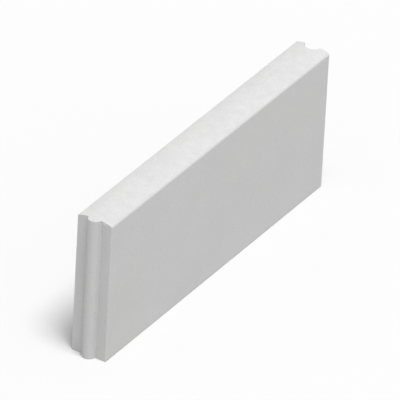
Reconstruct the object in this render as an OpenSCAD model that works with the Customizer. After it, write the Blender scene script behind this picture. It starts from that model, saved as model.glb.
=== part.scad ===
// Concrete kerb stone for garden and path edging. It is cast as one piece,
// stands on its bed, and locks to its neighbours with a half-round tongue on
// one end and a matching groove in the other. All sizes are in millimetres.
//
// Frame: +X runs along the stone from its tongue to its groove, -Y is the
// front face, +Z is up. The origin is the middle of the bed, halfway between
// the two end faces.

/* [Stone] */
// Laying length between the two end faces, without the tongue
stone_length = 500; // [250:50:1000]
// Height from the bed to the crest of the top
stone_height = 200; // [100:5:400]
// Thickness from the back face to the front face
stone_thickness = 50; // [40:1:120]

/* [Top] */
// Rise of the crowned top from its shoulders to its crest
crown_rise = 4; // [2:0.5:8]
// Radius that rounds the two long arrises of the top
top_arris_r = 4; // [1:0.5:6]

/* [Tongue and groove] */
// Radius of the half-round nose of the tongue
tongue_r = 9; // [7:0.5:13]
// How far the tongue stands out of its end face
tongue_reach = 8.5; // [5:0.5:13]
// Radius of the fillets at the root of the tongue
root_r = 1.5; // [0.5:0.25:3]
// Gap beside each flank of a tongue in the groove
flank_gap = 1.75; // [0.5:0.25:3]
// Gap between the tip of a tongue and the bottom of the groove
tip_gap = 2; // [0.5:0.25:4]
// Radius of the rounded lips at the mouth of the groove
lip_r = 1.5; // [0.5:0.25:3]

/* [Arrises] */
// Width of the bevel on the four upright arrises at the ends
end_bevel = 1; // [0.5:0.25:2.5]
// Width of the bevel on the two long arrises of the bed
bed_bevel = 1; // [0.5:0.25:3]

/* [Hidden] */

// Circles with this many sides come back as true arcs
$fn = 96;

// How far a cutting shape runs past the surface that it cuts
overrun = 2;

// How far two arcs that run into each other overlap, so that they cross instead
// of only touching
bite = 0.005;

// The groove takes the tongue with a gap beside it and a gap at its tip
groove_r = tongue_r + flank_gap;
groove_depth = tongue_reach + tip_gap;

// Arc of the crown: through both shoulders and the crest
half_thickness = stone_thickness / 2;
crown_r = (half_thickness ^ 2 + crown_rise ^ 2) / (2 * crown_rise);
crown_z = stone_height - crown_r;

// Centre of the top arris on one side, which runs into the crown from inside,
// and the direction from the centre of the crown through it
arris_y = half_thickness - top_arris_r;
arris_z = crown_z + sqrt((crown_r - top_arris_r + bite) ^ 2 - arris_y ^ 2);
arris_way = [arris_y, arris_z - crown_z] / norm([arris_y, arris_z - crown_z]);

// Plan of a round-nosed key that stands on the line x = 0 and reaches along
// -X, with a fillet on each side where it meets the line. Where it reaches
// further than its own radius, its flanks run straight to the nose. It is the
// tongue where it is added, and the groove where it is cut.
module key_plan(r, reach, fillet_r) {
    nose_x = r - reach;
    // The point on the centreline that both fillets lie level from
    throat_x = max(nose_x, -fillet_r);
    fillet_y = sqrt((r + fillet_r - bite) ^ 2 - (throat_x + fillet_r) ^ 2);

    translate([nose_x, 0])
        circle(r);
    if (nose_x < throat_x)
        translate([nose_x, -r])
            square([throat_x - nose_x, 2 * r]);
    difference() {
        polygon([
            [overrun, -fillet_y],
            [overrun, fillet_y],
            [-fillet_r, fillet_y],
            [throat_x, 0],
            [-fillet_r, -fillet_y]
        ]);
        for (side = [-1, 1])
            translate([-fillet_r, side * fillet_y])
                circle(fillet_r);
    }
}

// Outline of the stone seen from above
module stone_plan() {
    corner = [stone_length, stone_thickness] / 2;
    difference() {
        union() {
            polygon([
                [end_bevel - corner.x, -corner.y],
                [corner.x - end_bevel, -corner.y],
                [corner.x, end_bevel - corner.y],
                [corner.x, corner.y - end_bevel],
                [corner.x - end_bevel, corner.y],
                [end_bevel - corner.x, corner.y],
                [-corner.x, corner.y - end_bevel],
                [-corner.x, end_bevel - corner.y]
            ]);
            translate([-corner.x, 0])
                key_plan(tongue_r, tongue_reach, root_r);
        }
        translate([corner.x, 0])
            key_plan(groove_r, groove_depth, lip_r);
    }
}

// What rounding takes off the top arris on one side, seen along the stone
module top_arris_cut(side) {
    outside = [arris_y, arris_z] + arris_way * (top_arris_r + overrun);
    difference() {
        polygon([
            [side * arris_y, arris_z],
            [side * (half_thickness + overrun), arris_z],
            [side * (half_thickness + overrun), outside.y],
            [side * outside.x, outside.y]
        ]);
        translate([side * arris_y, arris_z])
            circle(top_arris_r);
    }
}

// Outline of the stone seen along its length: flat bed, upright faces and a
// crowned top
module stone_section() {
    difference() {
        intersection() {
            polygon([
                [bed_bevel - half_thickness, 0],
                [half_thickness - bed_bevel, 0],
                [half_thickness, bed_bevel],
                [half_thickness, stone_height + overrun],
                [-half_thickness, stone_height + overrun],
                [-half_thickness, bed_bevel]
            ]);
            // The crown, on a block that takes in all below it
            union() {
                translate([0, crown_z])
                    circle(crown_r);
                translate([-half_thickness - overrun, -overrun])
                    square([stone_thickness + 2 * overrun, max(crown_z, 0) + overrun]);
            }
        }
        for (side = [-1, 1])
            top_arris_cut(side);
    }
}

module kerb_stone() {
    full_length = stone_length + 2 * (tongue_reach + overrun);
    color("silver")
        intersection() {
            translate([0, 0, -overrun])
                linear_extrude(height = stone_height + 2 * overrun)
                    stone_plan();
            rotate([90, 0, 90])
                translate([0, 0, -full_length / 2])
                    linear_extrude(height = full_length)
                        stone_section();
        }
}

kerb_stone();
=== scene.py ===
"""Concrete kerb stone: the cast stone, its dry-cast concrete finish and a plain studio.

The stone is one piece. Its form follows a rule, so a Geometry Nodes tree makes
it from named sizes: a plan with a tongue at one end and a groove at the other,
and a section with a crowned top and rounded arrises. The same tree wears the
arrises, gives the faces their slight relief and cuts the blow holes.
"""

import logging
import math
from dataclasses import dataclass
from enum import Enum
from typing import Sequence, Union

import bpy
from mathutils import Matrix, Vector


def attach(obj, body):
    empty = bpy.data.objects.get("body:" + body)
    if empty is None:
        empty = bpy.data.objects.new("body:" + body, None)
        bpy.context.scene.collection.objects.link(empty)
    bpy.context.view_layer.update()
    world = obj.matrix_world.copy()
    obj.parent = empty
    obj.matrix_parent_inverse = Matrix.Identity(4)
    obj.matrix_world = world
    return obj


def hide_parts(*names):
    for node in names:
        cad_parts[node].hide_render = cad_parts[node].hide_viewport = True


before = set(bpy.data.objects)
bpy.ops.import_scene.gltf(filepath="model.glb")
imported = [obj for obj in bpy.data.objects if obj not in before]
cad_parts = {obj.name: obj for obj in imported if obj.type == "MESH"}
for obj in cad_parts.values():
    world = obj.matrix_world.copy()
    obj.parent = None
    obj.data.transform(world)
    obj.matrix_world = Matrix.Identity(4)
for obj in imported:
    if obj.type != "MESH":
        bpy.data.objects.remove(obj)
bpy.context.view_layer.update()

LOG = logging.getLogger("kerb_stone")
MM = 0.001
# Keeps a division away from zero
TINY = 1e-7
# Places of the colour sockets of a Mix node
MIX_LOW, MIX_HIGH, MIX_RESULT = 6, 7, 2


# ---------------------------------------------------------------- node trees


@dataclass(frozen=True)
class Port:
    """A named socket on the outside of a node tree.

    Attributes:
        name: the socket's label.
        kind: its data type, without the NodeSocket prefix.
        default: its value where nothing is joined to it, or None.
    """

    name: str
    kind: str = "Float"
    default: Union[float, int, Sequence[float], None] = None


class Flow:
    """A value that flows through a node tree, with arithmetic on it."""

    def __init__(self, canvas: "Canvas", socket: bpy.types.NodeSocket) -> None:
        """Wraps an output socket.

        Args:
            canvas: the canvas that new nodes go on.
            socket: the output socket that carries the value.
        """
        self.canvas = canvas
        self.socket = socket

    def __add__(self, other: "Value") -> "Flow":
        """Returns the sum of both values."""
        return self.canvas.math("ADD", self, other)

    def __sub__(self, other: "Value") -> "Flow":
        """Returns this value less the other."""
        return self.canvas.math("SUBTRACT", self, other)

    def __rsub__(self, other: "Value") -> "Flow":
        """Returns the other value less this one."""
        return self.canvas.math("SUBTRACT", other, self)

    def __mul__(self, other: "Value") -> "Flow":
        """Returns the product of both values."""
        return self.canvas.math("MULTIPLY", self, other)

    def __truediv__(self, other: "Value") -> "Flow":
        """Returns this value over the other."""
        return self.canvas.math("DIVIDE", self, other)

    def __rtruediv__(self, other: "Value") -> "Flow":
        """Returns the other value over this one."""
        return self.canvas.math("DIVIDE", other, self)

    def __neg__(self) -> "Flow":
        """Returns this value with its sign turned round."""
        return self.canvas.math("MULTIPLY", self, -1.0)

    def __gt__(self, other: "Value") -> "Flow":
        """Returns 1 where this value is the greater, and 0 elsewhere."""
        return self.canvas.math("GREATER_THAN", self, other)

    def __lt__(self, other: "Value") -> "Flow":
        """Returns 1 where this value is the smaller, and 0 elsewhere."""
        return self.canvas.math("LESS_THAN", self, other)

    __radd__ = __add__
    __rmul__ = __mul__


Value = Union[Flow, float, int, Sequence[float]]


class Canvas:
    """Adds nodes to one node tree and joins them up."""

    def __init__(self, tree: bpy.types.NodeTree) -> None:
        """Takes a tree to draw on.

        Args:
            tree: a geometry or a shader node tree.
        """
        self.tree = tree

    @classmethod
    def group(
        cls, name: str, kind: str, inputs: Sequence[Port], outputs: Sequence[Port]
    ) -> tuple["Canvas", dict[str, Flow], bpy.types.Node]:
        """Starts a node group with named sockets.

        Args:
            name: the group's name.
            kind: GeometryNodeTree or ShaderNodeTree.
            inputs: the sockets that take values in.
            outputs: the sockets that give values out.

        Returns:
            The canvas, the inputs by name, and the group's output node.
        """
        tree = bpy.data.node_groups.new(name, kind)
        for ports, side in ((inputs, "INPUT"), (outputs, "OUTPUT")):
            for port in ports:
                socket = tree.interface.new_socket(
                    port.name, in_out=side, socket_type=f"NodeSocket{port.kind}"
                )
                if port.default is not None:
                    socket.default_value = port.default
        canvas = cls(tree)
        source = tree.nodes.new("NodeGroupInput")
        sink = tree.nodes.new("NodeGroupOutput")
        taken = {port.name: Flow(canvas, source.outputs[port.name]) for port in inputs}
        return canvas, taken, sink

    def feed(self, socket: bpy.types.NodeSocket, value: Value) -> None:
        """Joins a value to a socket, or sets it there.

        Args:
            socket: the input socket.
            value: a flow to join, or a plain value to set.
        """
        if isinstance(value, Flow):
            self.tree.links.new(value.socket, socket)
        else:
            socket.default_value = value

    def add(
        self,
        kind: str,
        inputs: dict[Union[str, int], Value] | None = None,
        **settings: object,
    ) -> bpy.types.Node:
        """Adds one node.

        Args:
            kind: the node's type name.
            inputs: what goes into its sockets, by name or place.
            settings: the node's own options.

        Returns:
            The new node.
        """
        node = self.tree.nodes.new(kind)
        for option, choice in settings.items():
            setattr(node, option, choice)
        for key, value in (inputs or {}).items():
            self.feed(node.inputs[key], value)
        return node

    def take(
        self,
        kind: str,
        inputs: dict[Union[str, int], Value] | None = None,
        output: Union[str, int] = 0,
        **settings: object,
    ) -> Flow:
        """Adds one node and returns what flows out of one of its sockets.

        Args:
            kind: the node's type name.
            inputs: what goes into its sockets, by name or place.
            output: the output socket to read, by name or place.
            settings: the node's own options.

        Returns:
            The value at that output.
        """
        return Flow(self, self.add(kind, inputs, **settings).outputs[output])

    def use(
        self, group: bpy.types.NodeTree, inputs: dict[str, Value]
    ) -> dict[str, Flow]:
        """Places a node group.

        Args:
            group: the group to place.
            inputs: what goes into its sockets, by name.

        Returns:
            Its outputs by name.
        """
        kind = group.bl_idname.replace("NodeTree", "NodeGroup")
        node = self.tree.nodes.new(kind)
        node.node_tree = group
        for name, value in inputs.items():
            self.feed(node.inputs[name], value)
        return {socket.name: Flow(self, socket) for socket in node.outputs}

    def math(self, operation: str, *values: Value) -> Flow:
        """Adds a Math node.

        Args:
            operation: the node's operation.
            values: its one to three operands.

        Returns:
            The node's result.
        """
        return self.take(
            "ShaderNodeMath", dict(enumerate(values)), operation=operation
        )

    def vector(self, operation: str, *values: Value) -> Flow:
        """Adds a Vector Math node whose result is a vector.

        Args:
            operation: the node's operation.
            values: its one to three operands.

        Returns:
            The node's result.
        """
        return self.take(
            "ShaderNodeVectorMath", dict(enumerate(values)), operation=operation
        )

    def scaled(self, vector: Value, factor: Value) -> Flow:
        """Scales a vector.

        Args:
            vector: the vector.
            factor: what each of its parts is multiplied by.

        Returns:
            The scaled vector.
        """
        return self.take(
            "ShaderNodeVectorMath", {0: vector, "Scale": factor}, operation="SCALE"
        )

    def split(self, vector: Value) -> tuple[Flow, Flow, Flow]:
        """Takes a vector apart.

        Args:
            vector: the vector.

        Returns:
            Its X, Y and Z.
        """
        node = self.add("ShaderNodeSeparateXYZ", {0: vector})
        x, y, z = (Flow(self, socket) for socket in node.outputs)
        return x, y, z

    def joined(self, x: Value, y: Value, z: Value) -> Flow:
        """Returns a vector made of three parts."""
        return self.take("ShaderNodeCombineXYZ", {0: x, 1: y, 2: z})

    def mix(self, factor: Value, low: Value, high: Value) -> Flow:
        """Blends two values, and runs on past them outside 0 to 1.

        Args:
            factor: how much of the high value to take.
            low: the value where the factor is 0.
            high: the value where the factor is 1.

        Returns:
            The blended value.
        """
        return self.take(
            "ShaderNodeMix", {"Factor": factor, "A": low, "B": high}, clamp_factor=False
        )

    def ramp(self, value: Value, start: Value, end: Value) -> Flow:
        """Turns a range of a value into 0 to 1, in a smooth S.

        Args:
            value: the value to read.
            start: where the result is 0.
            end: where the result is 1.

        Returns:
            The result, held at 0 and 1 outside the range.
        """
        return self.take(
            "ShaderNodeMapRange",
            {"Value": value, "From Min": start, "From Max": end},
            interpolation_type="SMOOTHSTEP",
        )

    def noise(
        self, vector: Value, scale: Value, detail: float = 2.0, roughness: float = 0.5
    ) -> Flow:
        """Adds smooth noise.

        Args:
            vector: where to read it.
            scale: waves a metre.
            detail: how many finer octaves it has.
            roughness: how strong they are.

        Returns:
            The noise, from 0 to 1.
        """
        return self.take(
            "ShaderNodeTexNoise",
            {
                "Vector": vector,
                "Scale": scale,
                "Detail": detail,
                "Roughness": roughness,
            },
        )


GEOMETRY = "GeometryNodeTree"
SHADER = "ShaderNodeTree"


# ------------------------------------------------------------------ finishes


class CastFace(Enum):
    """How a face of the stone was left when it was cast."""

    MOULDED = "moulded"
    FLOATED = "floated"
    STRUCK = "struck"


@dataclass(frozen=True)
class ConcreteFinish:
    """Dry-cast concrete as one kind of face shows it.

    Attributes:
        face: the kind of face.
        colour: linear colour of the dry surface.
        grain_size: size of the sand grains, in metres.
        grain_contrast: how much the grains differ in shade.
        cloud_size: size of the paler and darker patches, in metres.
        cloud_contrast: how much the patches differ in shade.
        pinhole_cell: mean distance between pinholes, in metres.
        pinhole_radius: radius of the largest pinholes, in metres.
        relief: depth of the grain, in metres.
        roughness: roughness of the dry surface.
    """

    face: CastFace
    colour: tuple[float, float, float]
    grain_size: float
    grain_contrast: float
    cloud_size: float
    cloud_contrast: float
    pinhole_cell: float
    pinhole_radius: float
    relief: float
    roughness: float


MOULDED = ConcreteFinish(
    face=CastFace.MOULDED,
    colour=(0.52, 0.52, 0.52),
    grain_size=0.9 * MM,
    grain_contrast=0.09,
    cloud_size=60 * MM,
    cloud_contrast=0.03,
    pinhole_cell=7.0 * MM,
    pinhole_radius=0.45 * MM,
    relief=0.12 * MM,
    roughness=0.88,
)
FLOATED = ConcreteFinish(
    face=CastFace.FLOATED,
    colour=(0.52, 0.52, 0.52),
    grain_size=1.2 * MM,
    grain_contrast=0.11,
    cloud_size=15 * MM,
    cloud_contrast=0.08,
    pinhole_cell=6.0 * MM,
    pinhole_radius=0.5 * MM,
    relief=0.16 * MM,
    roughness=0.9,
)
STRUCK = ConcreteFinish(
    face=CastFace.STRUCK,
    colour=(0.48, 0.48, 0.477),
    grain_size=1.6 * MM,
    grain_contrast=0.16,
    cloud_size=35 * MM,
    cloud_contrast=0.06,
    pinhole_cell=4.0 * MM,
    pinhole_radius=0.8 * MM,
    relief=0.5 * MM,
    roughness=0.94,
)


class ConcreteShop:
    """Makes the concrete materials from shared effects."""

    WEAR = "wear"

    def __init__(self) -> None:
        """Builds each shared effect once."""
        self.clouding = self._clouding()
        self.sand = self._sand()
        self.pinholes = self._pinholes()

    @staticmethod
    def _clouding() -> bpy.types.NodeTree:
        """Builds the effect of soft patches of paler and darker cement.

        Returns:
            The shader node group.
        """
        canvas, given, sink = Canvas.group(
            "Cement clouding",
            SHADER,
            [
                Port("Vector", "Vector"),
                Port("Patch Size", default=0.06),
                Port("Contrast", default=0.03),
            ],
            [Port("Shade"), Port("Warmth")],
        )
        apart = (3.1, 1.7, 5.3)
        warm_scale, warm_from, warm_full = 0.45, 0.45, 0.75
        scale = 1.0 / given["Patch Size"]
        wide = canvas.noise(given["Vector"], scale, detail=4.0, roughness=0.55)
        moved = canvas.vector("ADD", given["Vector"], apart)
        warm = canvas.noise(moved, scale * warm_scale, detail=1.0)
        canvas.feed(sink.inputs["Shade"], (wide - 0.5) * 2.0 * given["Contrast"] + 1.0)
        canvas.feed(sink.inputs["Warmth"], canvas.ramp(warm, warm_from, warm_full))
        return canvas.tree

    @staticmethod
    def _sand() -> bpy.types.NodeTree:
        """Builds the effect of sand grains set in cement.

        Returns:
            The shader node group.
        """
        canvas, given, sink = Canvas.group(
            "Sand grain",
            SHADER,
            [
                Port("Vector", "Vector"),
                Port("Grain Size", default=0.001),
                Port("Contrast", default=0.08),
                Port("Dark Grains", default=0.12),
            ],
            [Port("Shade"), Port("Height")],
        )
        grain_share, fine_share, fine_scale = 0.9, 2.2, 1.9
        dark_from, dark_full = 0.93, 0.97
        bead_height, fine_height = 0.45, 0.55
        scale = 1.0 / given["Grain Size"]
        cells = canvas.add(
            "ShaderNodeTexVoronoi", {"Vector": given["Vector"], "Scale": scale}
        )
        tone = canvas.split(Flow(canvas, cells.outputs["Color"]))[0]
        bead = 1.0 - Flow(canvas, cells.outputs["Distance"])
        fine = canvas.noise(
            given["Vector"], scale * fine_scale, detail=3.0, roughness=0.6
        )
        mixed = (tone - 0.5) * grain_share + (fine - 0.5) * fine_share
        dark = canvas.ramp(tone, dark_from, dark_full) * given["Dark Grains"]
        canvas.feed(sink.inputs["Shade"], mixed * given["Contrast"] + 1.0 - dark)
        canvas.feed(sink.inputs["Height"], bead * bead_height + fine * fine_height)
        return canvas.tree

    @staticmethod
    def _pinholes() -> bpy.types.NodeTree:
        """Builds the effect of the pinholes that trapped air leaves.

        Returns:
            The shader node group.
        """
        canvas, given, sink = Canvas.group(
            "Pinholes",
            SHADER,
            [
                Port("Vector", "Vector"),
                Port("Spacing", default=0.007),
                Port("Largest Radius", default=0.0005),
            ],
            [Port("Hole")],
        )
        rarity, floor_share = 2.5, 0.55
        scale = 1.0 / given["Spacing"]
        cells = canvas.add(
            "ShaderNodeTexVoronoi", {"Vector": given["Vector"], "Scale": scale}
        )
        reach = Flow(canvas, cells.outputs["Distance"]) * given["Spacing"]
        luck = canvas.split(Flow(canvas, cells.outputs["Color"]))[1]
        radius = canvas.math("POWER", luck, rarity) * given["Largest Radius"]
        floor = radius * floor_share
        canvas.feed(sink.inputs["Hole"], canvas.ramp(reach, radius, floor))
        return canvas.tree

    def material(self, finish: ConcreteFinish) -> bpy.types.Material:
        """Makes the material of one kind of face.

        Args:
            finish: the face's values.

        Returns:
            The new material.
        """
        # hole_painted_shade: how much painted shade darkens the colour inside a pinhole
        hole_painted_shade, hole_depth, worn_lift = 0.55, 1.5, 0.05
        warmer, rough_spread = (1.004, 1.0, 0.994), 0.08
        made = bpy.data.materials.new(f"concrete_{finish.face.value}")
        made.use_nodes = True
        made.diffuse_color = (*finish.colour, 1.0)
        canvas = Canvas(made.node_tree)
        made.node_tree.nodes.clear()
        place = canvas.take("ShaderNodeTexCoord", output="Object")
        cloud = canvas.use(
            self.clouding,
            {
                "Vector": place,
                "Patch Size": finish.cloud_size,
                "Contrast": finish.cloud_contrast,
            },
        )
        sand = canvas.use(
            self.sand,
            {
                "Vector": place,
                "Grain Size": finish.grain_size,
                "Contrast": finish.grain_contrast,
            },
        )
        holes = canvas.use(
            self.pinholes,
            {
                "Vector": place,
                "Spacing": finish.pinhole_cell,
                "Largest Radius": finish.pinhole_radius,
            },
        )
        wear = canvas.take(
            "ShaderNodeAttribute", output="Fac", attribute_name=self.WEAR
        )
        # Random cloud and grain tone, times painted shade inside the pinholes (the
        # holes also get a bump below)
        shade = cloud["Shade"] * sand["Shade"] * (1.0 - holes["Hole"] * hole_painted_shade)
        shade = shade * (wear * worn_lift + 1.0)
        warm = (part * more for part, more in zip(finish.colour, warmer, strict=True))
        tint = canvas.take(
            "ShaderNodeMix",
            {
                0: cloud["Warmth"],
                MIX_LOW: (*finish.colour, 1.0),
                MIX_HIGH: (*warm, 1.0),
            },
            output=MIX_RESULT,
            data_type="RGBA",
        )
        toned = canvas.scaled(tint, shade)
        height = sand["Height"] - holes["Hole"] * hole_depth
        bump = canvas.take(
            "ShaderNodeBump",
            {"Height": height, "Distance": finish.relief, "Strength": 1.0},
            output="Normal",
        )
        smoothest = finish.roughness - rough_spread / 2
        rough = (1.0 - sand["Height"]) * rough_spread + smoothest
        surface = canvas.add(
            "ShaderNodeBsdfPrincipled",
            {
                "Base Color": toned,
                "Roughness": rough,
                "Specular IOR Level": 0.3,
                "Normal": bump,
            },
        )
        out = canvas.add("ShaderNodeOutputMaterial")
        made.node_tree.links.new(surface.outputs[0], out.inputs["Surface"])
        return made


# ----------------------------------------------------------------- the stone


@dataclass(frozen=True)
class Weathering:
    """How casting and handling have left the stone.

    Sizes are in metres. Shares and luck run from 0 to 1.

    Attributes:
        wear_wave: size of the places where the arrises are worn more or less.
        wear_from: the noise where their wear starts.
        wear_full: the noise where it is full.
        soft_from: how far from an arris the softening starts.
        soft_full: how far from an arris it is full.
        soft_wave: size of the places where it is stronger or weaker.
        soft_passes: how often it runs over the mesh.
        chip_cell: size of the cells that may each hold a chip.
        chip_luck: share of the cells that hold none.
        chip_edge: where a chip ends, in cells from the middle of its cell.
        chip_heart: where it is deepest, measured likewise.
        chip_wave: size of the lumps in a chip.
        chip_reach: how far from an arris a chip runs.
        worn_reach: how far from an arris the surface is paler.
        wide_wave: size of the wide swells of the faces.
        wide_share: how much of the relief they make up.
        narrow_wave: size of the narrow swells, which make up the rest.
        hole_margin: how far blow holes stay from arrises and from each other.
        hole_rarity: how much rarer large holes are than small ones.
        hole_least: radius of the smallest hole, as a share of the largest.
        hole_lift: how far a bubble's centre lies outside, in its own radii.
        crease: the turn between faces that shows as an edge, in radians.
        weld: how close points are joined.
    """

    wear_wave: float = 24 * MM
    wear_from: float = 0.42
    wear_full: float = 0.72
    soft_from: float = 1.6 * MM
    soft_full: float = 0.3 * MM
    soft_wave: float = 9 * MM
    soft_passes: int = 3
    chip_cell: float = 26 * MM
    chip_luck: float = 0.8
    chip_edge: float = 0.24
    chip_heart: float = 0.1
    chip_wave: float = 2.5 * MM
    chip_reach: float = 3.2 * MM
    worn_reach: float = 3.0 * MM
    wide_wave: float = 85 * MM
    wide_share: float = 0.65
    narrow_wave: float = 16 * MM
    hole_margin: float = 4.0 * MM
    hole_rarity: float = 4.0
    hole_least: float = 0.4
    hole_lift: float = 0.55
    crease: float = 0.9
    weld: float = 0.02 * MM


@dataclass
class KerbStone:
    """The cast stone: its sizes, and how its mesh is made and dressed.

    All sizes are in metres. The frame is the CAD model's: +X from tongue to
    groove, -Y out of the front face, +Z up, with the origin in the middle of
    the bed.
    """

    length: float = 500 * MM
    height: float = 200 * MM
    thickness: float = 50 * MM
    crown_rise: float = 4 * MM
    top_arris: float = 4 * MM
    end_arris: float = 1 * MM
    bed_arris: float = 1 * MM
    tongue_radius: float = 9 * MM
    tongue_reach: float = 8.5 * MM
    root_fillet: float = 1.5 * MM
    groove_radius: float = 10.75 * MM
    groove_depth: float = 10.5 * MM
    lip_fillet: float = 1.5 * MM
    face_relief: float = 0.22 * MM
    arris_wear: float = 0.5 * MM
    chip_depth: float = 0.8 * MM
    blow_holes: float = 420.0
    hole_radius: float = 1.0 * MM
    rows_along: int = 221
    rows_across: int = 89
    rows_up: int = 79
    crowding: tuple[float, float, float] = (1.5, 1.35, 1.5)
    outline_points: int = 1601
    crown_facing: float = 0.75
    bed_facing: float = -0.6
    bed_level: float = 3 * MM
    seed: int = 11
    node: str = "kerb_stone"
    slot: str = "concrete"
    finishes: tuple[ConcreteFinish, ...] = (MOULDED, FLOATED, STRUCK)
    weathering: Weathering = Weathering()

    def ports(self) -> list[Port]:
        """Lists the form's inputs.

        Returns:
            The inputs, each with this stone's own size.
        """
        return [
            Port("Length", default=self.length),
            Port("Height", default=self.height),
            Port("Thickness", default=self.thickness),
            Port("Crown Rise", default=self.crown_rise),
            Port("Top Arris Radius", default=self.top_arris),
            Port("End Arris Radius", default=self.end_arris),
            Port("Bed Arris Radius", default=self.bed_arris),
            Port("Tongue Radius", default=self.tongue_radius),
            Port("Tongue Reach", default=self.tongue_reach),
            Port("Root Fillet", default=self.root_fillet),
            Port("Groove Radius", default=self.groove_radius),
            Port("Groove Depth", default=self.groove_depth),
            Port("Lip Fillet", default=self.lip_fillet),
            Port("Face Relief", default=self.face_relief),
            Port("Arris Wear", default=self.arris_wear),
            Port("Chip Depth", default=self.chip_depth),
            Port("Blow Holes", default=self.blow_holes),
            Port("Hole Radius", default=self.hole_radius),
            Port("Rows Along", "Int", self.rows_along),
            Port("Rows Across", "Int", self.rows_across),
            Port("Rows Up", "Int", self.rows_up),
            Port("Seed", "Int", self.seed),
            Port("Moulded", "Material"),
            Port("Floated", "Material"),
            Port("Struck", "Material"),
        ]

    @staticmethod
    def _key_depth() -> bpy.types.NodeTree:
        """Builds the group for the depth of a round-nosed key across its width.

        Returns:
            The geometry node group.
        """
        canvas, given, sink = Canvas.group(
            "Key depth",
            GEOMETRY,
            [Port("Across"), Port("Radius"), Port("Reach"), Port("Fillet")],
            [Port("Depth")],
        )
        radius, reach, fillet = given["Radius"], given["Reach"], given["Fillet"]
        across = canvas.math("ABSOLUTE", given["Across"])

        def arc(r: Value, offset: Value) -> Flow:
            """Returns how far a circle reaches at an offset from its centre."""
            square = canvas.math("MAXIMUM", r * r - offset * offset, 0.0)
            return canvas.math("SQRT", square)

        nose = arc(radius, across) - radius + reach
        lift = reach - radius - fillet
        fillet_across = arc(radius + fillet, lift)
        foot = fillet - arc(fillet, canvas.math("MINIMUM", across - fillet_across, 0.0))
        touch = fillet + lift * fillet / (radius + fillet)
        foot = canvas.math("MINIMUM", foot, touch)
        canvas.feed(sink.inputs["Depth"], canvas.math("MAXIMUM", nose, foot))
        return canvas.tree

    @staticmethod
    def _crowded() -> bpy.types.NodeTree:
        """Builds the group that crowds even steps from 0 to 1 towards both ends.

        Returns:
            The geometry node group.
        """
        canvas, given, sink = Canvas.group(
            "Crowded steps",
            GEOMETRY,
            [Port("Step"), Port("Power", default=1.5)],
            [Port("Place")],
        )
        side = given["Step"] * 2.0 - 1.0
        from_end = 1.0 - canvas.math("ABSOLUTE", side)
        out = 1.0 - canvas.math("POWER", from_end, given["Power"])
        out = out * canvas.math("SIGN", side)
        canvas.feed(sink.inputs["Place"], out * 0.5 + 0.5)
        return canvas.tree

    @staticmethod
    def _round_corner() -> bpy.types.NodeTree:
        """Builds the group that rounds a square corner of two coordinates.

        Returns:
            The geometry node group.
        """
        canvas, given, sink = Canvas.group(
            "Round corner",
            GEOMETRY,
            [Port("A"), Port("B"), Port("Corner A"), Port("Corner B"), Port("Radius")],
            [Port("A"), Port("B")],
        )
        radius = given["Radius"]
        over_a = canvas.math("MAXIMUM", given["A"] - given["Corner A"] + radius, 0.0)
        over_b = canvas.math("MAXIMUM", given["B"] - given["Corner B"] + radius, 0.0)
        length = canvas.math("SQRT", over_a * over_a + over_b * over_b)
        length = canvas.math("MAXIMUM", length, TINY)
        pull = 1.0 - canvas.math("MINIMUM", radius / length, 1.0)
        canvas.feed(sink.inputs["A"], given["A"] - over_a * pull)
        canvas.feed(sink.inputs["B"], given["B"] - over_b * pull)
        return canvas.tree

    def _end_profile(
        self,
        canvas: Canvas,
        key_depth: bpy.types.NodeTree,
        sizes: dict[str, Flow],
        key: tuple[str, str, str],
        base: Value,
    ) -> Flow:
        """Draws one end of the plan as a curve, from front face to back face.

        Args:
            canvas: the form's canvas.
            key_depth: the group for the depth of a key.
            sizes: the form's inputs.
            key: the inputs for the key's radius, reach and fillet.
            base: X of the end face.

        Returns:
            The curve.
        """
        half = sizes["Thickness"] * 0.5
        line = canvas.take(
            "GeometryNodeMeshLine",
            {
                "Count": self.outline_points,
                "Start Location": canvas.joined(0.0, -half, 0.0),
                "Offset": canvas.joined(0.0, half, 0.0),
            },
            mode="END_POINTS",
        )
        across = canvas.split(canvas.take("GeometryNodeInputPosition"))[1]
        depth = canvas.use(
            key_depth,
            {
                "Across": across,
                "Radius": sizes[key[0]],
                "Reach": sizes[key[1]],
                "Fillet": sizes[key[2]],
            },
        )["Depth"]
        shaped = canvas.take(
            "GeometryNodeSetPosition",
            {"Geometry": line, "Position": canvas.joined(base - depth, across, 0.0)},
        )
        return canvas.take("GeometryNodeMeshToCurve", {0: shaped})

    def form(self) -> bpy.types.NodeTree:
        """Builds the tree that makes the stone from its sizes.

        Returns:
            The geometry tree.
        """
        key_depth = self._key_depth()
        crowded = self._crowded()
        round_corner = self._round_corner()
        canvas, size, sink = Canvas.group(
            "Kerb stone form", GEOMETRY, self.ports(), [Port("Geometry", "Geometry")]
        )

        # Even steps over a block, crowded towards its edges
        block = canvas.add(
            "GeometryNodeMeshCube",
            {
                "Size": (1.0, 1.0, 1.0),
                "Vertices X": size["Rows Along"],
                "Vertices Y": size["Rows Across"],
                "Vertices Z": size["Rows Up"],
            },
        )
        position = canvas.take("GeometryNodeInputPosition")
        steps = canvas.split(canvas.vector("ADD", position, (0.5, 0.5, 0.5)))
        along, across, up = (
            canvas.use(crowded, {"Step": step, "Power": power})["Place"]
            for step, power in zip(steps, self.crowding, strict=True)
        )

        # Plan: steps run from the tongue's outline to the groove's
        half_length = size["Length"] * 0.5
        half = size["Thickness"] * 0.5
        ends = []
        for key, base in (
            (("Tongue Radius", "Tongue Reach", "Root Fillet"), -half_length),
            (("Groove Radius", "Groove Depth", "Lip Fillet"), half_length),
        ):
            curve = self._end_profile(canvas, key_depth, size, key, base)
            ends.append(
                canvas.take(
                    "GeometryNodeSampleCurve",
                    {"Curves": curve, "Factor": across},
                    output="Position",
                    use_all_curves=True,
                )
            )
        (near_x, near_y, _), (far_x, far_y, _) = (canvas.split(end) for end in ends)
        x = canvas.mix(along, near_x, far_x)
        y = canvas.mix(along, near_y, far_y)

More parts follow.
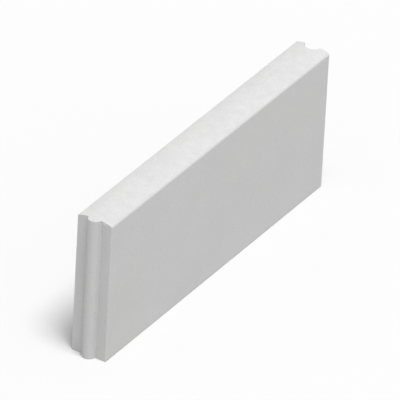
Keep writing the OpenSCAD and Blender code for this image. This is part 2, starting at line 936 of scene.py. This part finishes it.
        # Section: flat bed, crowned top
        rise = size["Crown Rise"]
        crown_r = (half * half + rise * rise) / (rise * 2.0)
        crown_z = size["Height"] - crown_r
        top = crown_z + canvas.math("SQRT", crown_r * crown_r - y * y)
        z = up * top

        # How far each point is from the nearest arris
        to_end = canvas.math("MINIMUM", along, 1.0 - along) * (far_x - near_x)
        to_side = half - canvas.math("ABSOLUTE", y)
        to_bed_or_top = canvas.math("MINIMUM", z, top - z)
        low = canvas.math("MINIMUM", to_end, to_side)
        high = canvas.math("MAXIMUM", to_end, to_side)
        to_arris = canvas.math(
            "MAXIMUM", low, canvas.math("MINIMUM", high, to_bed_or_top)
        )

        # Arrises, each a little more or less worn from place to place
        habit = self.weathering
        shift = canvas.scaled((1.7, 0.9, 2.3), size["Seed"])
        spot = canvas.vector("ADD", canvas.joined(x, y, z), shift)
        ragged = canvas.noise(spot, 1.0 / habit.wear_wave, detail=3.0, roughness=0.6)
        wear = canvas.ramp(ragged, habit.wear_from, habit.wear_full)
        wear = wear * size["Arris Wear"]

        radius = size["Top Arris Radius"] + wear
        arris_y = half - radius
        reach = crown_r - radius
        arris_z = crown_z + canvas.math("SQRT", reach * reach - arris_y * arris_y)
        side_y = canvas.math("ABSOLUTE", y)
        out_y, out_z = side_y - arris_y, z - arris_z
        length = canvas.math("SQRT", out_y * out_y + out_z * out_z)
        turn = out_y * (arris_z - crown_z) - out_z * arris_y
        inside = (out_z > 0.0) * (turn > 0.0)
        length = canvas.math("MAXIMUM", length, TINY)
        pull = (1.0 - canvas.math("MINIMUM", radius / length, 1.0)) * inside
        side_y = side_y - out_y * pull
        z = z - out_z * pull

        bed = canvas.use(
            round_corner,
            {
                "A": side_y,
                "B": -z,
                "Corner A": half,
                "Corner B": 0.0,
                "Radius": size["Bed Arris Radius"] + wear,
            },
        )
        side_y, z = bed["A"], -bed["B"]
        corner = canvas.use(
            round_corner,
            {
                "A": canvas.math("ABSOLUTE", x),
                "B": side_y,
                "Corner A": half_length,
                "Corner B": half,
                "Radius": size["End Arris Radius"] + wear,
            },
        )
        # The corner's X holds only beside the long faces, clear of the key
        beside = side_y > half - size["End Arris Radius"] * 3.0
        x = canvas.mix(beside, x, corner["A"] * canvas.math("SIGN", x))
        y = corner["B"] * canvas.math("SIGN", y)
        measured = canvas.take(
            "GeometryNodeStoreNamedAttribute",
            {
                "Geometry": Flow(canvas, block.outputs["Mesh"]),
                "Name": "to_arris",
                "Value": to_arris,
            },
            data_type="FLOAT",
            domain="POINT",
        )
        shaped = canvas.take(
            "GeometryNodeSetPosition",
            {"Geometry": measured, "Position": canvas.joined(x, y, z)},
        )
        canvas.feed(sink.inputs["Geometry"], self._weather(canvas, size, shaped))
        return canvas.tree

    def _weather(self, canvas: Canvas, size: dict[str, Flow], stone: Flow) -> Flow:
        """Wears the arrises, adds relief and blow holes, and sets the materials.

        Args:
            canvas: the form's canvas.
            size: the form's inputs.
            stone: the stone with clean faces, with to_arris stored on it.

        Returns:
            The finished stone.
        """
        near = canvas.take(
            "GeometryNodeInputNamedAttribute", {"Name": "to_arris"}, data_type="FLOAT"
        )
        position = canvas.take("GeometryNodeInputPosition")
        normal = canvas.take("GeometryNodeInputNormal")
        habit = self.weathering
        shift = canvas.scaled((0.37, 0.11, 0.53), size["Seed"])
        spot = canvas.vector("ADD", position, shift)

        # Every arris softens where hands and tools touch it
        edge = canvas.ramp(near, habit.soft_from, habit.soft_full)
        ragged = canvas.noise(spot, 1.0 / habit.soft_wave, detail=2.0)
        weight = edge * (ragged * 0.7 + 0.25)
        soft = canvas.take(
            "GeometryNodeBlurAttribute",
            {"Value": position, "Iterations": habit.soft_passes, "Weight": weight},
            data_type="FLOAT_VECTOR",
        )
        stone = canvas.take(
            "GeometryNodeSetPosition", {"Geometry": stone, "Position": soft}
        )

        # A few chips along the arrises
        cells = canvas.add(
            "ShaderNodeTexVoronoi", {"Vector": spot, "Scale": 1.0 / habit.chip_cell}
        )
        luck = canvas.split(Flow(canvas, cells.outputs["Color"]))[0]
        reach = Flow(canvas, cells.outputs["Distance"])
        rough = canvas.noise(spot, 1.0 / habit.chip_wave, detail=2.0)
        chip = canvas.ramp(reach + rough * 0.1, habit.chip_edge, habit.chip_heart)
        chip = chip * (luck > habit.chip_luck)
        chip = chip * canvas.ramp(near, habit.chip_reach, 0.0)
        chip_depth = chip * size["Chip Depth"] * (rough * 0.6 + 0.7)

        # Faces are flat to the eye but not to a straight edge
        wide = canvas.noise(spot, 1.0 / habit.wide_wave, detail=1.0)
        narrow = canvas.noise(spot, 1.0 / habit.narrow_wave, detail=2.0)
        swell = wide * habit.wide_share + narrow * (1.0 - habit.wide_share)
        relief = swell * size["Face Relief"]
        stone = canvas.take(
            "GeometryNodeSetPosition",
            {
                "Geometry": stone,
                "Offset": canvas.scaled(normal, -(chip_depth + relief)),
            },
        )
        handled = canvas.ramp(near, habit.worn_reach, 0.0) * ragged
        worn = canvas.math("MAXIMUM", chip, handled)
        stone = canvas.take(
            "GeometryNodeStoreNamedAttribute",
            {"Geometry": stone, "Name": ConcreteShop.WEAR, "Value": worn},
            data_type="FLOAT",
            domain="POINT",
        )
        stone = self._cut_holes(canvas, size, stone, near)

        stone = canvas.take(
            "GeometryNodeRemoveAttribute", {"Geometry": stone, "Name": "to_arris"}
        )
        crease = canvas.take("GeometryNodeInputMeshEdgeAngle") > habit.crease
        stone = canvas.take(
            "GeometryNodeSetShadeSmooth",
            {"Geometry": stone, "Selection": crease, "Shade Smooth": False},
            domain="EDGE",
        )
        stone = canvas.take("GeometryNodeRealizeInstances", {0: stone})
        stone = canvas.take(
            "GeometryNodeSetMaterial", {"Geometry": stone, "Material": size["Moulded"]}
        )
        _, _, facing = canvas.split(canvas.take("GeometryNodeInputNormal"))
        _, _, level = canvas.split(canvas.take("GeometryNodeInputPosition"))
        bed = (facing < self.bed_facing) * (level < self.bed_level)
        shoulder = size["Height"] - size["Crown Rise"] * 2.0
        crown = (facing > self.crown_facing) * (level > shoulder)
        for where, name in ((crown, "Floated"), (bed, "Struck")):
            stone = canvas.take(
                "GeometryNodeSetMaterial",
                {"Geometry": stone, "Selection": where, "Material": size[name]},
            )
        return stone

    def _cut_holes(
        self, canvas: Canvas, size: dict[str, Flow], stone: Flow, near: Flow
    ) -> Flow:
        """Cuts small round blow holes into the faces.

        Args:
            canvas: the form's canvas.
            size: the form's inputs.
            stone: the stone's mesh.
            near: how far a point is from the nearest arris.

        Returns:
            The stone with its blow holes.
        """
        habit = self.weathering
        points = canvas.add(
            "GeometryNodeDistributePointsOnFaces",
            {
                "Mesh": stone,
                "Selection": near > habit.hole_margin,
                "Distance Min": habit.hole_margin,
                "Density Max": size["Blow Holes"],
                "Seed": size["Seed"],
            },
            distribute_method="POISSON",
        )
        out = Flow(canvas, points.outputs["Normal"])
        points = Flow(canvas, points.outputs["Points"])
        luck = canvas.take(
            "FunctionNodeRandomValue",
            {"Seed": size["Seed"]},
            output=1,
            data_type="FLOAT",
        )
        rare = canvas.math("POWER", luck, habit.hole_rarity)
        share = rare * (1.0 - habit.hole_least) + habit.hole_least
        radius = share * size["Hole Radius"]
        lift = canvas.scaled(out, radius * habit.hole_lift)
        points = canvas.take(
            "GeometryNodeSetPosition", {"Geometry": points, "Offset": lift}
        )
        bubble = canvas.take(
            "GeometryNodeMeshIcoSphere", {"Radius": 1.0, "Subdivisions": 2}
        )
        bubbles = canvas.take(
            "GeometryNodeInstanceOnPoints",
            {
                "Points": points,
                "Instance": bubble,
                "Scale": canvas.joined(radius, radius, radius),
            },
        )
        bubbles = canvas.take("GeometryNodeRealizeInstances", {0: bubbles})
        stone, bubbles = (
            canvas.take(
                "GeometryNodeSetMaterial",
                {"Geometry": part, "Material": size["Moulded"]},
            )
            for part in (stone, bubbles)
        )
        cut = canvas.take(
            "GeometryNodeMeshBoolean",
            {"Mesh 1": stone, "Mesh 2": bubbles},
            operation="DIFFERENCE",
            solver="MANIFOLD",
        )
        return canvas.take(
            "GeometryNodeMergeByDistance", {"Geometry": cut, "Distance": habit.weld}
        )

    def build(self) -> bpy.types.Object:
        """Makes the stone's mesh and dresses it.

        Returns:
            The finished piece.
        """
        shop = ConcreteShop()
        tree = self.form()
        seedling = bpy.data.meshes.new("cast_stone_start")
        host = bpy.data.objects.new("cast_stone_start", seedling)
        bpy.context.scene.collection.objects.link(host)
        maker = host.modifiers.new("Form", "NODES")
        maker.node_group = tree
        keys = {
            item.name: item.identifier
            for item in tree.interface.items_tree
            if item.item_type == "SOCKET" and item.in_out == "INPUT"
        }
        for port in self.ports():
            if port.default is not None:
                maker[keys[port.name]] = port.default
        for finish in self.finishes:
            maker[keys[finish.face.value.capitalize()]] = shop.material(finish)
        depsgraph = bpy.context.evaluated_depsgraph_get()
        mesh = bpy.data.meshes.new_from_object(
            host.evaluated_get(depsgraph),
            preserve_all_data_layers=True,
            depsgraph=depsgraph,
        )
        host.modifiers.remove(maker)
        bpy.data.objects.remove(host)
        mesh.name = "cast_stone"
        # The block brings an empty slot with it, which no face uses
        empty = [i for i, paint in enumerate(mesh.materials) if paint is None]
        for place in reversed(empty):
            mesh.materials.pop(index=place)
        piece = bpy.data.objects.new("cast_stone", mesh)
        bpy.context.scene.collection.objects.link(piece)
        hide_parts(self.node)
        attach(piece, "root")
        return piece


# ---------------------------------------------------------------- the studio


@dataclass
class Studio:
    """A plain pale floor and plain soft light."""

    floor_size: float = 160.0
    floor_shade: float = 0.65
    floor_roughness: float = 0.9
    key_azimuth: float = -28.0
    key_elevation: float = 74.0
    key_strength: float = 3.12
    key_spread: float = 22.0
    world_strength: float = 0.56

    def floor(self) -> bpy.types.Object:
        """Lays the floor.

        Returns:
            The floor.
        """
        mesh = bpy.data.meshes.new("studio_floor")
        r = self.floor_size / 2
        corners = [(-r, -r, 0), (r, -r, 0), (r, r, 0), (-r, r, 0)]
        mesh.from_pydata(corners, [], [(0, 1, 2, 3)])
        floor = bpy.data.objects.new("studio_floor", mesh)
        bpy.context.scene.collection.objects.link(floor)
        paint = bpy.data.materials.new("floor_paint")
        paint.use_nodes = True
        surface = paint.node_tree.nodes["Principled BSDF"]
        surface.inputs["Base Color"].default_value = (*(self.floor_shade,) * 3, 1.0)
        surface.inputs["Roughness"].default_value = self.floor_roughness
        surface.inputs["Specular IOR Level"].default_value = 0.0
        mesh.materials.append(paint)
        return floor

    def lights(self) -> None:
        """Hangs the key light and sets the light of the room."""
        lamp = bpy.data.lights.new("key", "SUN")
        lamp.energy = self.key_strength
        lamp.angle = math.radians(self.key_spread)
        key = bpy.data.objects.new("key", lamp)
        key.rotation_mode = "QUATERNION"
        key.rotation_quaternion = direction(
            self.key_azimuth, self.key_elevation
        ).to_track_quat("Z", "Y")
        bpy.context.scene.collection.objects.link(key)
        world = bpy.data.worlds.new("room")
        world.use_nodes = True
        air = world.node_tree.nodes["Background"]
        air.inputs["Color"].default_value = (1.0, 1.0, 1.0, 1.0)
        air.inputs["Strength"].default_value = self.world_strength
        bpy.context.scene.world = world


def direction(azimuth: float, elevation: float) -> Vector:
    """Returns the unit vector towards a compass bearing and height.

    Args:
        azimuth: degrees round the object; 0 is in front of it, towards -Y.
        elevation: degrees above the horizon.

    Returns:
        The unit vector.
    """
    a, e = math.radians(azimuth), math.radians(elevation)
    flat = math.cos(e)
    return Vector((math.sin(a) * flat, -math.cos(a) * flat, math.sin(e)))


@dataclass
class Viewpoint:
    """Where the camera stands."""

    azimuth: float = -59.17
    elevation: float = 32.43
    roll: float = -3.12
    distance: float = 12.413
    target: tuple[float, float, float] = (37.0 * MM, 24.6 * MM, 69.4 * MM)
    lens: float = 900.0
    sensor: float = 36.0
    clip: tuple[float, float] = (0.1, 200.0)

    def camera(self) -> bpy.types.Object:
        """Sets up the camera.

        Returns:
            The camera.
        """
        data = bpy.data.cameras.new("camera")
        data.lens = self.lens
        data.sensor_width = self.sensor
        data.clip_start, data.clip_end = self.clip
        camera = bpy.data.objects.new("camera", data)
        bpy.context.scene.collection.objects.link(camera)
        back = direction(self.azimuth, self.elevation)
        turn = math.radians(self.azimuth)
        level = Vector((math.cos(turn), math.sin(turn), 0.0))
        up = back.cross(level)
        roll = math.radians(self.roll)
        right = level * math.cos(roll) - up * math.sin(roll)
        up = back.cross(right)
        pose = Matrix((right, up, back)).transposed().to_4x4()
        pose.translation = Vector(self.target) + back * self.distance
        camera.matrix_world = pose
        bpy.context.scene.camera = camera
        return camera


def main() -> None:
    """Builds the stone and the studio."""
    logging.basicConfig(level=logging.INFO, format="%(name)s: %(message)s")
    bpy.context.scene.view_settings.view_transform = "Standard"
    stone = KerbStone().build()
    LOG.info("%s: %d faces", stone.name, len(stone.data.polygons))
    studio = Studio()
    LOG.info("%s", studio.floor().name)
    studio.lights()
    LOG.info("%s", Viewpoint().camera().name)


if __name__ == "__main__":
    main()
